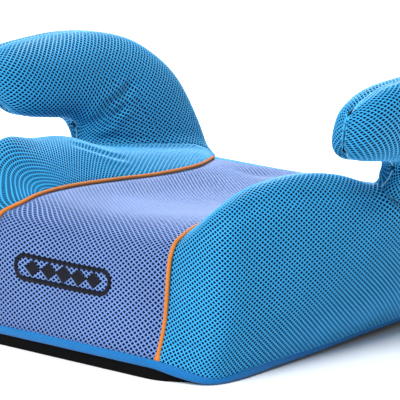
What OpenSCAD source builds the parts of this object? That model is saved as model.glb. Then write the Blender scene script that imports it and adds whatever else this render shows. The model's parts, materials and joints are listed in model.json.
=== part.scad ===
// Backless child booster seat: a moulded pan and foam core, two armrests bolted to the core's
// sides, foam padding, and a sewn cover of spacer mesh with piping and a bound hem.
// Millimetres. The seat faces -Y and rests on Z = 0. Left and right are as seen from the front,
// so a right_ piece is on the +X side, which is the sitter's left.

/* [Cover] */
// Thickness of the spacer mesh fabric
fabric_t = 2.4; // [1.5:0.1:3]
// Diameter of the piping cord along the centre panel
piping_d = 5; // [3:0.5:6]
// Height of the woven binding on the cover's hem
binding_h = 9; // [6:1:12]
// Width of the embroidered badge on the front
badge_w = 104; // [60:2:110]
// Height of the badge
badge_h = 22; // [16:1:30]
// How far the badge sits to the left of the middle
badge_left = 16; // [0:1:20]

/* [Padding] */
// Thickness of the foam under the cover
foam_t = 8; // [5:1:9]
// Gap left between neighbouring layers
layer_gap = 0.3; // [0.2:0.1:0.5]

/* [Armrests] */
// Thickness of the armrest frame plate
frame_t = 18; // [12:1:18]
// Distance from the cover's outline to the frame's edge
frame_inset = 15; // [14:1:18]
// How far an armrest leans out for each millimetre of height
lean = 0.42; // [0.3:0.02:0.5]
// Diameter of the screws that hold the frames
screw_d = 5; // [4:0.5:6]
// Length of those screws under the head
screw_len = 34; // [28:2:40]

/* [Base] */
// Wall and floor thickness of the pan
pan_t = 3; // [2.5:0.5:4]
// Height of the pan's rim
pan_h = 15; // [12:1:16]
// Height of the ribs that carry the core
rib_h = 11; // [8:1:12]
// Distance from the front of the seat to the frame's origin
front_to_origin = 180.8; // [180.8]

/* [Hidden] */

blue = "#2a92c8";
lavender = "#8fa6e6";
orange = "#e08a3a";
hem_blue = "#1590d8";
foam_grey = "#d9d9de";
foam_white = "#eeeae4";
pan_black = "#17181a";
steel = "#b4b6ba";

// The guide points below are [x, depth from the front edge, height], for the right-hand (+X) half.
// Each row of side_net runs from the hem up the wall, over the bolster and down to the piping.
side_net = [
  [[92, 5, 9], [92, 12, 30], [92, 18, 52], [92, 21, 76], [92, 24, 94], [92, 28, 101], [92, 33, 106]],
  [[112, 9, 5], [114, 14, 30], [115, 17, 58], [115, 19, 88], [113, 25, 111], [104, 36, 115],
    [92, 48, 112]],
  [[133, 20, 1], [141, 23, 35], [142, 26, 75], [139, 30, 108], [129, 41, 132], [112, 54, 130],
    [92, 68, 115]],
  [[140, 48, 1], [151, 52, 45], [153, 55, 90], [149, 61, 125], [136, 71, 146], [114, 80, 140],
    [92, 90, 116.5]],
  [[139, 100, 2], [158, 101, 45], [163, 103, 92], [160, 107, 130], [146, 112, 151],
    [118, 116, 144], [92, 120, 116.5]],
  [[138, 150, 3], [163, 150, 45], [172, 151, 92], [170, 152, 126], [154, 154, 147],
    [122, 156, 140], [92, 158, 115]],
  [[137, 200, 5], [166, 200, 45], [178, 199, 88], [177, 198, 118], [163, 197, 134],
    [127, 200, 131], [92, 204, 112.5]],
  [[136, 265, 7], [166, 265, 45], [178, 265, 80], [177, 265, 108], [163, 264, 124],
    [130, 263, 124], [97, 262, 112]],
  [[133, 318, 8], [160, 322, 42], [171, 326, 75], [172, 328, 100], [160, 326, 115],
    [139, 320, 117], [117, 312, 111]],
  [[122, 340, 8], [143, 350, 40], [152, 356, 70], [153, 358, 92], [149, 356, 102],
    [143, 349, 106.5], [137, 341, 107]]];

// Rows of the centre panel: half width, depth and height at the piping, and at the middle.
centre_rows = [[92, 5, 9, 0, 11], [92, 16, 42, 11, 42], [92, 21, 84, 17, 81], [92, 25, 98, 23, 95],
  [92, 33, 106, 34, 104], [92, 60, 114, 60, 111], [92, 100, 116.5, 100, 110],
  [92, 155, 115, 155, 105], [92, 210, 112.5, 210, 102], [97, 270, 112, 270, 101],
  [137, 341, 107, 350, 102]];

// Armrest seen from the side, [depth, height]: upper outline from the nose back and down, the
// lower outline along the horn, round the belt slot's corner and down the neck, and half the
// thickness at each pair of points.
arm_top = [[104, 196], [107, 206], [117, 217], [136, 225], [172, 230], [215, 232], [258, 229],
  [301, 215], [337, 185], [353, 142], [357, 100]];
arm_low = [[106, 186], [115, 175], [124, 168], [138, 164], [160, 161], [182, 158], [192, 152],
  [193, 146], [192, 140], [190, 128], [190, 100]];
arm_half = [6, 14, 21, 26, 28, 28, 27, 26, 24, 22, 22];
// How far the back bows out, and its top edge dips, in the middle
rear_bow = 6;
rear_dip = 5;
lean_x = 160;
lean_z = 110;
lean_angle = atan(lean);

core_bottom = rib_h;
foot_low = 46;
foot_front = 206;
foot_rear = 325;
screw_spots = [[222, 92], [222, 62], [305, 92], [305, 62]];
pan_spots = [[62, 60], [62, 290]];

// ---- Curves and surfaces -------------------------------------------------------------------
function cubic(p, q, r, s, t) = 0.5 * (2 * q + (r - p) * t + (2 * p - 5 * q + 4 * r - s) * t * t
  + (3 * q - p - 3 * r + s) * t * t * t);
function beyond(v, k) = k < 0 ? 2 * v[0] - v[1]
  : k >= len(v) ? 2 * v[len(v) - 1] - v[len(v) - 2] : v[k];
function along(v, s) = let (x = min(max(s, 0), 1) * (len(v) - 1), i = min(floor(x), len(v) - 2))
  cubic(beyond(v, i - 1), v[i], v[i + 1], beyond(v, i + 2), x - i);
function spot(net, a, b) = along([for (row = net) along(row, b)], a);
function unit(v) = v / norm(v);
function facing(net, a, b) = let (e = 0.004, a0 = max(a - e, 0), a1 = min(a + e, 1),
  b0 = max(b - e, 0), b1 = min(b + e, 1))
  unit(cross(spot(net, a1, b) - spot(net, a0, b), spot(net, a, b1) - spot(net, a, b0)));
function inside(net, a, b, deep) = spot(net, a, b) - deep * facing(net, a, b);

centre_net = [for (r = centre_rows) [for (f = [1, 0.5, 0, -0.5, -1])
  [f * r[0], r[3] + f * f * (r[1] - r[3]), r[4] + f * f * (r[2] - r[4])]]];
rear_net = let (corner = side_net[len(side_net) - 1])
  [for (f = [1, 0.5, 0, -0.5, -1]) [for (p = corner)
    [f * p[0], p[1] + rear_bow * (1 - f * f), p[2] - (p[2] > 100 ? rear_dip * (1 - f * f) : 0)]]];

// A closed layer between two depths under a surface, for the part of the net from a0 to a1
// and from b0 to b1.
module layer(net, na, nb, from, to, a0 = 0, a1 = 1, b0 = 0, b1 = 1) {
  w = nb + 1;
  n = (na + 1) * w;
  grid = [for (deep = [from, to], i = [0:na], j = [0:nb])
    inside(net, a0 + (a1 - a0) * i / na, b0 + (b1 - b0) * j / nb, deep)];
  function quad(p, q, r, s) = [[p, q, r], [p, r, s]];
  skins = [for (i = [0:na - 1], j = [0:nb - 1]) let (k = i * w + j)
    each concat(quad(k, k + 1, k + w + 1, k + w), quad(n + k, n + k + w, n + k + w + 1, n + k + 1))];
  ends = [for (j = [0:nb - 1]) let (k = na * w + j)
    each concat(quad(j, n + j, n + j + 1, j + 1), quad(k, k + 1, n + k + 1, n + k))];
  sides = [for (i = [0:na - 1]) let (k = i * w, m = i * w + nb)
    each concat(quad(k, k + w, n + k + w, n + k), quad(m, n + m, n + m + w, m + w))];
  polyhedron(grid, concat(skins, ends, sides), convexity = 8);
}

// A closed tube through rings of points.
module rings_solid(rings) {
  m = len(rings[0]);
  n = len(rings);
  walls = [for (i = [0:n - 2], j = [0:m - 1]) let (k = i * m, j2 = (j + 1) % m)
    each [[k + j, k + j2, k + m + j2], [k + j, k + m + j2, k + m + j]]];
  first = [for (j = [1:m - 2]) [0, j + 1, j]];
  last = [for (j = [1:m - 2]) let (k = (n - 1) * m) [k, k + j, k + j + 1]];
  polyhedron([for (r = rings) each r], concat(walls, first, last), convexity = 8);
}

// Section of an armrest: drawn in by `edge` along its outline, `half` thick each way, with
// corners as round as `soft` says. It ends lower on the outer side, where it meets the wall.
arm_inner_end = 0.91;
function bulge(v, soft) = sign(v) * pow(abs(v), soft);
function arm_point(s, angle, edge, half_cut, half_least, soft) = let (
  a = s * (arm_inner_end + (1 - arm_inner_end) * (1 + sin(angle)) / 2),
  o = along(arm_top, a), i = along(arm_low, a), mid = (o + i) / 2, reach = (o - i) / 2,
  p = mid + reach * (1 - edge / norm(reach)) * bulge(cos(angle), soft),
  half = half_least > 0 ? half_least : along(arm_half, a) - half_cut)
  [lean_x + (p[1] - lean_z) * lean + half * bulge(sin(angle), soft), p[0], p[1]];
function arm_rings(count, sides, edge, half_cut, half_least = 0, soft = 0.8, start = 0, nose = 1) =
  let (ring = function (s) [for (k = [0:sides - 1])
      arm_point(s, 360 * k / sides, edge, half_cut, half_least, soft)],
    first = ring(start), heart = (first[0] + first[floor(sides / 2)]) / 2)
  concat([[for (p = first) heart + (p - heart) * 0.6 - [0, nose, 0]]],
    [for (i = [0:count]) ring(start + (1 - start) * i / count)]);

// A sock between two sets of rings, closed at the nose and open at the root
module sock(outer, inner) {
  m = len(outer[0]);
  n = len(outer);
  q = len(inner);
  base = n * m;
  walls = [for (i = [0:n - 2], j = [0:m - 1]) let (k = i * m, j2 = (j + 1) % m)
    each [[k + j, k + j2, k + m + j2], [k + j, k + m + j2, k + m + j]]];
  lining = [for (i = [0:q - 2], j = [0:m - 1]) let (k = base + i * m, j2 = (j + 1) % m)
    each [[k + j, k + m + j2, k + j2], [k + j, k + m + j, k + m + j2]]];
  nose = [for (j = [1:m - 2]) each [[0, j + 1, j], [base, base + j, base + j + 1]]];
  root = [for (j = [0:m - 1]) let (j2 = (j + 1) % m, k = (n - 1) * m, r = base + (q - 1) * m)
    each [[k + j, k + j2, r + j2], [k + j, r + j2, r + j]]];
  polyhedron([for (r = concat(outer, inner)) each r], concat(walls, lining, nose, root),
    convexity = 8);
}

module at_origin() {
  translate([0, -front_to_origin, 0]) children();
}
module mirrored() {
  mirror([1, 0, 0]) children();
}

// Lies in the plane of the right armrest: X is depth, Y runs up the lean, Z goes outward.
module on_arm_plane() {
  translate([lean_x, 0, lean_z]) rotate([0, lean_angle, 0]) rotate([90, 0, 90]) children();
}
function up_lean(z) = (z - lean_z) / cos(lean_angle);

// ---- Base and core ---------------------------------------------------------------------------
// Outline of the pan and the core in plan, drawn in by `gap`.
function arc(x, y, r, from, steps = 8) =
  [for (k = [0:steps]) let (t = from + 90 * k / steps) [x + r * cos(t), y + r * sin(t)]];
module plan_outline(gap) {
  front = 45;
  rear = 24;
  polygon(concat(arc(120 - rear, 332 - rear, rear - gap, 0),
    arc(rear - 120, 332 - rear, rear - gap, 90),
    arc(front - 128, 3 + front, front - gap, 180),
    arc(128 - front, 3 + front, front - gap, 270)));
}
module core_outline() polygon(concat([[150.8, 240], [150, 300]], arc(112, 310, 26, 0),
  arc(-112, 310, 26, 90), [[-150, 300], [-150.8, 240], [-150.8, 140], [-145, 90]],
  arc(-92, 62, 42, 180), arc(92, 62, 42, 270), [[145, 90], [150.8, 140]]));
// Where the core's leaning side wall meets an armrest frame
function core_wall(z) = lean_x + (z - lean_z) * lean - frame_t / 2 / cos(lean_angle) - layer_gap;

core_section = [[core_wall(core_bottom), core_bottom], [core_wall(112), 112],
  [core_wall(112) - 5, 127], [120, 126], [92, 100], [50, 91]];

module base_pan() color(pan_black) at_origin() difference() {
  union() {
    difference() {
      linear_extrude(pan_h) plan_outline(0);
      translate([0, 0, pan_t]) linear_extrude(pan_h) plan_outline(pan_t);
    }
    intersection() {
      union() {
        for (x = [-90:30:90]) translate([x - 1, 5, 0]) cube([2, 322, core_bottom]);
        for (y = [35:42.5:290]) translate([-118, y - 1, 0]) cube([236, 2, core_bottom]);
        for (s = [-1, 1], p = pan_spots) translate([s * p[0], p[1], 0])
          cylinder(h = core_bottom, d = 16, $fn = 48);
      }
      linear_extrude(core_bottom) plan_outline(1);
    }
  }
  for (s = [-1, 1], p = pan_spots) translate([s * p[0], p[1], 0]) {
    translate([0, 0, -1]) cylinder(h = pan_h + 2, d = screw_d + 0.4, $fn = 48);
    translate([0, 0, -1]) cylinder(h = 6, d = 11, $fn = 48);
  }
}

module pan_screws() color(steel) at_origin()
  for (s = [-1, 1], p = pan_spots) translate([s * p[0], p[1], 0]) difference() {
    union() {
      translate([0, 0, 1.6]) cylinder(h = 3.4, d = 9.6, $fn = 48);
      translate([0, 0, 5]) cylinder(h = 36, d = screw_d, $fn = 48);
    }
    translate([0, 0, 1]) cylinder(h = 2.4, d = 3.4, $fn = 6);
  }

module seat_core() color(foam_white) at_origin() difference() {
  intersection() {
    // Cross-section: leaning side walls, bolster ridges and a dished middle
    translate([0, 345, 0]) rotate([90, 0, 0]) linear_extrude(345)
      polygon(concat(core_section, [for (k = [5:-1:0]) [-core_section[k][0], core_section[k][1]]]));
    // Side view: front face, rounded nose, and a top that falls towards the rear
    rotate([90, 0, 90]) translate([0, 0, -160]) linear_extrude(320) polygon(concat(
      [[22, core_bottom], [336, core_bottom], [338, 60], [334, 92], [320, 101], [265, 110],
      [200, 119], [150, 130], [110, 130]], arc(66, 92, 28, 90)));
    linear_extrude(135) core_outline();
  }
  for (s = [-1, 1], p = pan_spots) translate([s * p[0], p[1], 0])
    cylinder(h = 42, d = screw_d, $fn = 48);
  // Blind holes for the armrest screws
  for (m = [0, 1]) mirror([m, 0, 0]) on_arm_plane() for (p = screw_spots)
    translate([p[0], up_lean(p[1]), -screw_len - 6]) cylinder(h = screw_len, d = screw_d, $fn = 48);
  // Cavities moulded into the underside
  for (s = [-1, 1], y = [100, 180]) translate([s * 50 - 34, y, core_bottom - 1])
    cube([68, 60, 40]);
}

// ---- Armrest frames ----------------------------------------------------------------------------
module frame_outline() {
  steps = 24;
  function edge_point(a, side) = let (o = along(arm_top, a), i = along(arm_low, a),
    reach = unit(o - i)) side > 0 ? o - frame_inset * reach : i + frame_inset * reach;
  polygon(concat([for (k = [0:steps]) let (p = edge_point(0.14 + 0.79 * k / steps, 1))
    [p[0], up_lean(p[1])]], [[foot_rear, up_lean(foot_low)], [foot_front, up_lean(foot_low)]],
    [for (k = [0:steps]) let (p = edge_point(0.93 - 0.79 * k / steps, -1))
    [p[0], up_lean(p[1])]]));
}
module armrest_frame() on_arm_plane() difference() {
  translate([0, 0, -frame_t / 2]) linear_extrude(frame_t) frame_outline();
  for (p = screw_spots) translate([p[0], up_lean(p[1]), 0]) {
    translate([0, 0, -20]) cylinder(h = 40, d = screw_d + 0.4, $fn = 48);
    translate([0, 0, 4]) cylinder(h = 10, d = 11, $fn = 48);
  }
  // Lightening window in the web
  translate([275, up_lean(150), -20]) cylinder(h = 40, d = 44, $fn = 96);
}
module right_armrest_frame() color(foam_grey) at_origin() armrest_frame();
module left_armrest_frame() color(foam_grey) at_origin() mirrored() armrest_frame();

module armrest_screws() color(steel) at_origin() for (m = [0, 1]) mirror([m, 0, 0])
  on_arm_plane() for (p = screw_spots) translate([p[0], up_lean(p[1]), 0]) difference() {
    union() {
      translate([0, 0, 4]) cylinder(h = 3.4, d = 9.6, $fn = 48);
      translate([0, 0, 4 - screw_len]) cylinder(h = screw_len, d = screw_d, $fn = 48);
    }
    translate([0, 0, 5.4]) cylinder(h = 3, d = 3.4, $fn = 6);
  }

// ---- Padding -------------------------------------------------------------------------------------
under_cover = fabric_t + layer_gap;
module bolster_pad() difference() {
  layer(side_net, 14, 9, under_cover, under_cover + foam_t, 0.1, 0.97, 0.12, 0.94);
  arm_gate();
}
// Slot through the cover and the pad for the armrest's web
module arm_gate() on_arm_plane() translate([204, -70, -frame_t / 2 - 1])
  cube([139, 140, frame_t + 2]);

module right_bolster_pad() color(foam_grey) at_origin() bolster_pad();
module left_bolster_pad() color(foam_grey) at_origin() mirrored() bolster_pad();

module seat_pad() color(foam_grey) at_origin()
  layer(centre_net, 14, 4, under_cover, under_cover + foam_t, 0.09, 0.96, 0.04, 0.96);

module armrest_pad() sock(arm_rings(12, 16, under_cover, under_cover),
  arm_rings(12, 16, frame_inset - 0.5, 0, frame_t / 2 + 1.3, 0.25, 0.2, 0.5));
module right_armrest_pad() color(foam_grey) at_origin() armrest_pad();
module left_armrest_pad() color(foam_grey) at_origin() mirrored() armrest_pad();

// ---- Cover ---------------------------------------------------------------------------------------
module centre_panel() color(lavender) at_origin()
  layer(centre_net, 20, 6, 0, fabric_t, 0, 1, 0.025, 0.975);

module side_panel() difference() {
  layer(side_net, 20, 12, 0, fabric_t, 0.01, 0.99, 0, 0.975);
  arm_gate();
}
module right_side_panel() color(blue) at_origin() side_panel();
module left_side_panel() color(blue) at_origin() mirrored() side_panel();

module rear_panel() color(blue) at_origin()
  layer(rear_net, 10, 6, 0, fabric_t, 0.01, 0.99);

module armrest_sleeve() sock(arm_rings(16, 18, 0, 0),
  arm_rings(16, 18, fabric_t, fabric_t, 0, 0.8, 0.03, 0.5));
module right_armrest_sleeve() color(blue) at_origin() armrest_sleeve();
module left_armrest_sleeve() color(blue) at_origin() mirrored() armrest_sleeve();

// Cord along the seam between the centre panel and a side panel
module piping() {
  steps = 26;
  sides = 8;
  path = [for (k = [0:steps]) let (a = 0.02 + 0.97 * k / steps)
    spot(centre_net, a, 1) + 0.7 * facing(centre_net, a, 1)];
  rings_solid([for (k = [0:steps]) let (here = path[k],
    ahead = unit(path[min(k + 1, steps)] - path[max(k - 1, 0)]), out = [1, 0, 0],
    up = unit(cross(ahead, out)), across = cross(up, ahead))
    [for (j = [0:sides - 1]) here + piping_d / 2 * (cos(360 * j / sides) * across
      + sin(360 * j / sides) * up)]]);
}
module right_piping() color(orange) at_origin() piping();
module left_piping() color(orange) at_origin() mirrored() piping();

// The hem all round, as one closed loop of points
hem_half = concat([for (b = [0.5:-0.1:0.1]) spot(centre_net, 0, b)],
  [for (a = [0:0.05:0.99]) spot(side_net, a, 0)], [for (a = [0:0.125:0.5]) spot(rear_net, a, 0)]);
module band(low, high, out_by, thick) {
  half = len(hem_half);
  loop = concat(hem_half,
    [for (k = [half - 2:-1:1]) [-hem_half[k][0], hem_half[k][1], hem_half[k][2]]]);
  n = len(loop);
  section = [for (k = [0:n - 1]) let (p = loop[k], d = loop[(k + 1) % n] - loop[(k + n - 1) % n],
    out = unit([d[1], -d[0], 0])) [p + out * out_by + [0, 0, high], p + out * (out_by - thick)
    + [0, 0, high], p + out * (out_by - thick) + [0, 0, low], p + out * out_by + [0, 0, low]]];
  faces = [for (k = [0:n - 1], j = [0:3]) let (k2 = (k + 1) % n, j2 = (j + 1) % 4)
    each [[4 * k + j, 4 * k2 + j2, 4 * k2 + j], [4 * k + j, 4 * k + j2, 4 * k2 + j2]]];
  polyhedron([for (s = section) each s], faces, convexity = 8);
}
module hem_binding() color(hem_blue) at_origin() band(-0.7, binding_h - 0.7, 2.4, 2);
module hem_elastic() color(foam_white) at_origin() band(0.5, 6.5, -3, 1);

// Barbed clips pushed into the pan's rim that hold the hem's elastic
module hem_clips() color(pan_black) at_origin() for (s = [-1, 1], y = [70, 170, 270])
  translate([s * (128.4 - 0.027 * (y - 48)), y, 0]) {
    translate([-1, -6, 6]) cube([2, 12, 7]);
    translate([s > 0 ? 0 : -4, -6, 4]) cube([4, 12, 2]);
  }

// Badge embroidered on the front face
module front_badge() color(pan_black) at_origin() {
  // Shares of the panel's 184 mm width and 400 mm length
  across = badge_w / 184 * 0.5;
  b = 0.5 + badge_left / 184;
  layer(centre_net, 4, 10, -0.8, -0.1, 0.13, 0.13 + badge_h / 400, b - across, b + across);
}

base_pan();
pan_screws();
seat_core();
left_armrest_frame();
right_armrest_frame();
armrest_screws();
seat_pad();
left_bolster_pad();
right_bolster_pad();
left_armrest_pad();
right_armrest_pad();
centre_panel();
left_side_panel();
right_side_panel();
rear_panel();
left_armrest_sleeve();
right_armrest_sleeve();
left_piping();
right_piping();
hem_binding();
hem_elastic();
hem_clips();
front_badge();
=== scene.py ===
# Backless child booster seat: a sewn cover of open spacer mesh over foam, two padded armrests,
# orange piping, a woven hem binding and an embroidered badge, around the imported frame.
# Lengths are millimetres until a mesh is made. Left and right are as seen from the front.
import json
import math

import bmesh
import bpy
import numpy as np
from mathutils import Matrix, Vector
from mathutils.bvhtree import BVHTree

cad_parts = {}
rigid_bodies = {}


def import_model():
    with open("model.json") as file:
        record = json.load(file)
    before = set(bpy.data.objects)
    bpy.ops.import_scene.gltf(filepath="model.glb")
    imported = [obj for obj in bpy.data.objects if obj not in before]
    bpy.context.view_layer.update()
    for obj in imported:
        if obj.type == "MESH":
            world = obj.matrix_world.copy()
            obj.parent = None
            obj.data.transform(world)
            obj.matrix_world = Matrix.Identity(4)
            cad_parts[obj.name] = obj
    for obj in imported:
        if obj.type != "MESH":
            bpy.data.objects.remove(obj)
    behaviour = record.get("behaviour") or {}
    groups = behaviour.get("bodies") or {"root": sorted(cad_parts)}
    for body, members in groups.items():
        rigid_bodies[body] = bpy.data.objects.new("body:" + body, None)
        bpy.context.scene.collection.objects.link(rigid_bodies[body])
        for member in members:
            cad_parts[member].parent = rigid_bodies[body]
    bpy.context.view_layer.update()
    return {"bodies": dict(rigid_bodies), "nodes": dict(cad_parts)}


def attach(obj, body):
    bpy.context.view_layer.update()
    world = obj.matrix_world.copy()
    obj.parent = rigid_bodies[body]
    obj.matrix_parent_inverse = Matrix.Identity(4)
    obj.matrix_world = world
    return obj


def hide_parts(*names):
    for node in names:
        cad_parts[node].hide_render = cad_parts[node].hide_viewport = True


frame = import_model()
MM = 0.001
FRONT_TO_ORIGIN = 180.8   # depths below run back from the front edge
BODY = next(iter(frame["bodies"]))

# ---- Camera, light and floor ----
scene = bpy.context.scene


def placed(name, data):
    """A new object in the scene."""
    made = bpy.data.objects.new(name, data)
    scene.collection.objects.link(made)
    return made


VIEW_TURN, VIEW_FALL = math.radians(41), math.radians(10.5)
camera = placed("camera", bpy.data.cameras.new("camera"))
camera.location = (1.1727, -1.3670, 0.4390)
look = Vector((-math.sin(VIEW_TURN) * math.cos(VIEW_FALL),
               math.cos(VIEW_TURN) * math.cos(VIEW_FALL), -math.sin(VIEW_FALL)))
camera.rotation_mode = "QUATERNION"
camera.rotation_quaternion = look.to_track_quat("-Z", "Y")
camera.data.lens, camera.data.sensor_width = 193.86, 36
camera.data.clip_end = 60
scene.camera = camera


def linear(code):
    """An sRGB hex colour as linear red, green, blue and alpha."""
    parts = [int(code[k:k + 2], 16) / 255 for k in (1, 3, 5)]
    return [p / 12.92 if p <= 0.04045 else ((p + 0.055) / 1.055) ** 2.4 for p in parts] + [1.0]


def softbox(name, place, size, watts):
    """A round soft light that points at the seat."""
    light = placed(name, bpy.data.lights.new(name, "AREA"))
    light.data.shape, light.data.size, light.data.energy = "DISK", size, watts
    light.location = place
    light.rotation_euler = (Vector((0, 0, 0.1)) - Vector(place)).to_track_quat("-Z", "Y").to_euler()


softbox("front_softbox", (0.5, -1.9, 1.2), 0.7, 9)
softbox("rear_softbox", (-1.0, 1.3, 1.9), 1.0, 45)
key_light = placed("key_light", bpy.data.lights.new("key_light", "SUN"))
key_light.data.energy, key_light.data.angle = 3.0, math.radians(35)
KEY_FROM = Vector((0.1, -0.7, 0.9))
key_light.rotation_euler = (-KEY_FROM).to_track_quat("-Z", "Y").to_euler()
scene.view_settings.view_transform = "Standard"

world = bpy.data.worlds.new("studio")
scene.world = world
world.use_nodes = True
world.node_tree.nodes["Background"].inputs[0].default_value = linear("#ffffff")
world.node_tree.nodes["Background"].inputs[1].default_value = 0.36


# ---- Node helper and materials ----
def add(tree, kind, inputs=None, **settings):
    """Adds a node: settings are its properties, inputs its sockets' values or the links to them."""
    made = tree.nodes.new(kind)
    for key, value in settings.items():
        setattr(made, key, value)
    for key, value in (inputs or {}).items():
        if isinstance(value, bpy.types.NodeSocket):
            tree.links.new(value, made.inputs[key])
        else:
            made.inputs[key].default_value = value
    return made


def surface(name, roughness, **finish):
    """A material with one Principled shader, and its tree."""
    made = bpy.data.materials.new(name)
    made.use_nodes = True
    tree = made.node_tree
    shader = tree.nodes["Principled BSDF"]
    shader.inputs["Roughness"].default_value = roughness
    for key, value in finish.items():
        shader.inputs[key.replace("_", " ")].default_value = value
    return made, tree, shader


def ramp(tree, factor, *stops):
    """A colour ramp through stops of (place, sRGB hex)."""
    made = add(tree, "ShaderNodeValToRGB", {"Fac": factor})
    bar = made.color_ramp
    while len(bar.elements) < len(stops):
        bar.elements.new(0.5)
    for element, (place, code) in zip(bar.elements, stops):
        element.position, element.color = place, linear(code)
    return made.outputs["Color"]


def bump(tree, shader, height, strength, distance):
    """Relief `distance` millimetres deep."""
    made = add(tree, "ShaderNodeBump", {"Height": height, "Strength": strength,
                                        "Distance": distance * MM})
    tree.links.new(made.outputs["Normal"], shader.inputs["Normal"])


def object_place(tree):
    return add(tree, "ShaderNodeTexCoord").outputs["Object"]


WAVE = 0.314   # scale of a wave texture for one band per unit


def per_mm(pitch):
    """Texture scale, in features per metre, for a feature every `pitch` millimetres."""
    return 1000 / pitch


def noise(tree, place, pitch, detail):
    """Cloudy noise with features `pitch` mm across."""
    return add(tree, "ShaderNodeTexNoise", {"Vector": place, "Scale": per_mm(pitch),
                                            "Detail": detail}).outputs["Fac"]


def paint(tree, shader, colour):
    tree.links.new(colour, shader.inputs["Base Color"])


def tinted(tree, colour, level, low, high, **span):
    """A colour made darker or lighter, from low to high, by a level."""
    value = add(tree, "ShaderNodeMapRange", {"Value": level, "To Min": low, "To Max": high,
                                             **span}).outputs[0]
    return add(tree, "ShaderNodeHueSaturation", {"Color": colour,
                                                 "Value": value}).outputs["Color"]


def maths(tree, operation, *values):
    return add(tree, "ShaderNodeMath", dict(enumerate(values)), operation=operation).outputs[0]


def spacer_mesh(name, crown_highlight, flank, deep):
    """Warp-knitted polyester spacer mesh: satin strands with a painted highlight on top of each
    strand, painted shade down to the rim of each hole, and a faint dye variation over the cloth."""
    made, tree, shader = surface(name, 0.42, Specular_IOR_Level=0.15, Sheen_Weight=0.3,
                                 Sheen_Roughness=0.35)
    place = object_place(tree)
    height = add(tree, "ShaderNodeAttribute", attribute_name="crown_highlight").outputs["Fac"]
    # Painted light and shade: lightest on top of each strand, darkest at the hole's rim
    strand = ramp(tree, height, (0.0, deep), (0.35, flank), (1.0, crown_highlight))
    # Filament bundles, 0.9 mm apart so that they still show
    twist = noise(tree, place, 0.9, 2.0)
    # Dye variation over 60 mm
    dye = noise(tree, place, 60, 1.0)
    shade = maths(tree, "ADD", twist, dye)
    paint(tree, shader, tinted(tree, strand, shade, 0.86, 1.12,
                               **{"From Min": 0.6, "From Max": 1.4}))
    bump(tree, shader, twist, 0.35, 0.25)
    return made


def grained(name, roughness, low, high, pitch, strength, depth, **finish):
    """A finish with fine grain `pitch` mm across: low and high are its (place, colour) stops."""
    made, tree, shader = surface(name, roughness, **finish)
    grain = noise(tree, object_place(tree), pitch, 2.0)
    paint(tree, shader, ramp(tree, grain, low, high))
    bump(tree, shader, grain, strength, depth)
    return made


def pile_in_painted_shade(name, dark, lit):
    """The inside of the spacer mesh: fine upright pile threads, 0.8 mm apart, coloured dark as
    painted shade inside the holes.
    """
    return grained(name, 0.85, (0.35, dark), (0.8, lit), 0.8, 0.5, 0.3, Specular_IOR_Level=0.2)


def thread(name, low, high, pitch):
    """Rayon or polyester sewing thread: twisted filaments."""
    return grained(name, 0.45, (0.3, low), (0.7, high), pitch, 0.4, 0.1, Specular_IOR_Level=0.2)


def woven(name, low, high, pitch, across):
    """Woven polyester tape or bias cut cloth: crossing threads `pitch` mm apart, turned `across`
    degrees and laid over the piece's own UV map, which is in millimetres along and across it."""
    made, tree, shader = surface(name, 0.55, Specular_IOR_Level=0.15, Sheen_Weight=0.1)
    laid = add(tree, "ShaderNodeUVMap", uv_map="cloth").outputs["UV"]
    turned = add(tree, "ShaderNodeMapping", {"Vector": laid,
                                             "Rotation": (0, 0, math.radians(across))})
    warp, weft = [add(tree, "ShaderNodeTexWave", {
        "Vector": turned.outputs[0], "Scale": WAVE / pitch, "Distortion": 0.4},
        bands_direction=way).outputs["Fac"] for way in "XY"]
    cross = maths(tree, "MULTIPLY", warp, weft)
    worn = noise(tree, object_place(tree), 25, 3.0)
    level = maths(tree, "ADD", maths(tree, "MULTIPLY_ADD", cross, worn, -0.25), cross)
    paint(tree, shader, ramp(tree, level, (0.0, low), (0.75, high)))
    bump(tree, shader, cross, 0.6, 0.3)
    return made


def moulded(name, low, high, roughness, **finish):
    """Injection-moulded plastic with a spark-eroded grain of 0.9 mm and faint flow marks."""
    made, tree, shader = surface(name, roughness, **finish)
    place = object_place(tree)
    cells = add(tree, "ShaderNodeTexVoronoi", {"Vector": place, "Scale": per_mm(0.9)})
    flow = noise(tree, place, 40, 3.0)
    paint(tree, shader, ramp(tree, flow, (0.3, low), (0.7, high)))
    rough = add(tree, "ShaderNodeMapRange", {"Value": flow, "To Min": roughness - 0.07,
                                             "To Max": roughness + 0.07}).outputs[0]
    tree.links.new(rough, shader.inputs["Roughness"])
    bump(tree, shader, cells.outputs["Distance"], 0.15, 0.2)
    return made


def beads(name, seam, bead, pitch):
    """Expanded or cellular foam: rounded cells `pitch` mm across with darker borders."""
    made, tree, shader = surface(name, 0.8, Specular_IOR_Level=0.3)
    place = object_place(tree)
    cells = add(tree, "ShaderNodeTexVoronoi", {"Vector": place, "Scale": per_mm(pitch)},
                feature="DISTANCE_TO_EDGE").outputs["Distance"]
    tone = add(tree, "ShaderNodeTexVoronoi", {"Vector": place, "Scale": per_mm(pitch)})
    cell = ramp(tree, cells, (0.0, seam), (0.12, bead))
    paint(tree, shader, tinted(tree, cell, tone.outputs["Color"], 0.93, 1.05))
    bump(tree, shader, cells, 0.5, 0.4)
    return made


# Strand colours: painted highlight on top, a middle colour, painted shade at the hole's rim
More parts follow.
